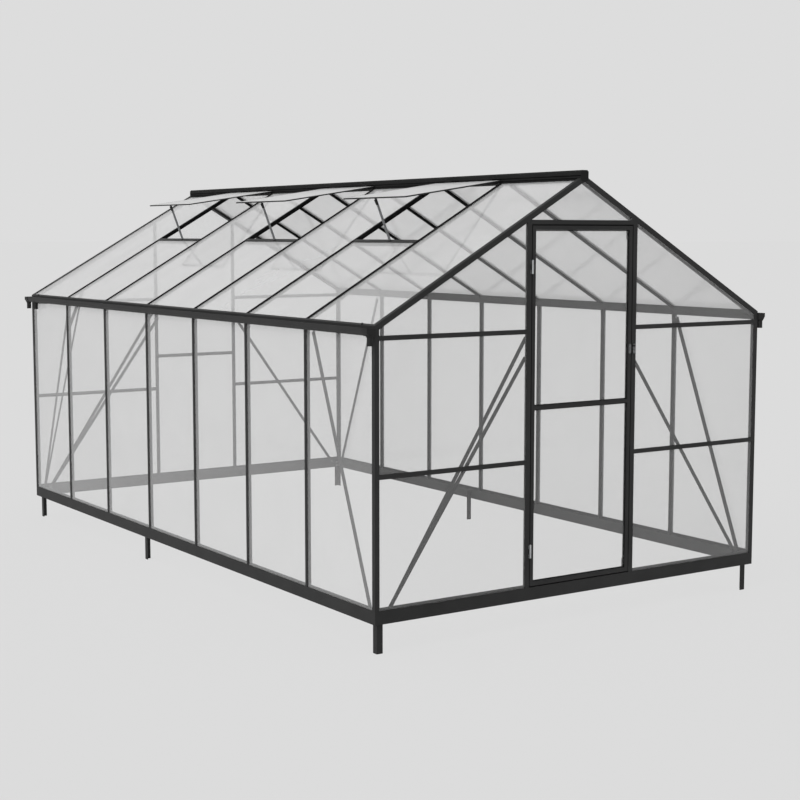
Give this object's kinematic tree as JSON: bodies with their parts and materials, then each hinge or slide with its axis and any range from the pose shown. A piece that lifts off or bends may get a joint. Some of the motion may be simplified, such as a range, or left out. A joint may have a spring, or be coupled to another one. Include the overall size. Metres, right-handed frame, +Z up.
{
  "type": "walk-in greenhouse",
  "caption": "Gabled walk-in greenhouse: dark metal frame on anchor legs, clear plastic sheets, hinged door, open roof vents and rain gutters.",
  "frame": {"origin": "on the ground, under the middle of the house", "axes": "+Z up, +Y along the ridge from the door gable to the back gable, +X across the house to the side without vents"},
  "size_m": [2.561, 4.3778, 2.265],
  "materials": {
    "frame_metal": "matt anthracite powder coat",
    "clear_sheet": "clear smooth plastic sheet",
    "bare_metal": "satin",
    "black_plastic": "moulded, satin"
  },
  "bodies": {
    "frame": {"base_front": "frame_metal", "base_back": "frame_metal", "base_left": "frame_metal", "base_right": "frame_metal", "base_lips": "frame_metal", "anchor_legs": "frame_metal", "corner_posts": "frame_metal", "wall_bars_left": "frame_metal", "wall_bars_right": "frame_metal", "eaves_beam_left": "frame_metal", "eaves_beam_right": "frame_metal", "gutter_left": "frame_metal", "gutter_right": "frame_metal", "gutter_outlets": "black_plastic", "ridge_beam": "frame_metal", "rafters_front": "frame_metal", "rafters_back": "frame_metal", "roof_bars_left": "frame_metal", "roof_bars_right": "frame_metal", "door_posts": "frame_metal", "door_header": "frame_metal", "door_stops": "frame_metal", "rails_front": "frame_metal", "posts_back": "frame_metal", "rails_back": "frame_metal", "wall_sheets_left": "clear_sheet", "wall_sheets_right": "clear_sheet", "gable_sheets_front": "clear_sheet", "gable_sheets_back": "clear_sheet", "roof_sheets_left": "clear_sheet", "roof_sheets_right": "clear_sheet", "vent_cross_rails": "frame_metal", "vent_frames": "frame_metal", "vent_sheets": "clear_sheet", "vent_stays": "bare_metal", "side_braces": "frame_metal", "gable_braces": "frame_metal", "hinge_brackets": "bare_metal", "hinge_pins": "bare_metal", "latch_keeper": "bare_metal"},
    "door": {"door_stiles": "frame_metal", "door_rails": "frame_metal", "door_sheets": "clear_sheet", "door_hinge_leaves": "bare_metal", "door_latch": "bare_metal"}
  },
  "joints": [
    {"name": "door_hinge", "type": "hinge", "parent": "frame", "child": "door", "pos_m": [-0.3245, -2.18, 1], "axis": [0, 0, -1], "range_deg": [0, 110]}
  ]
}
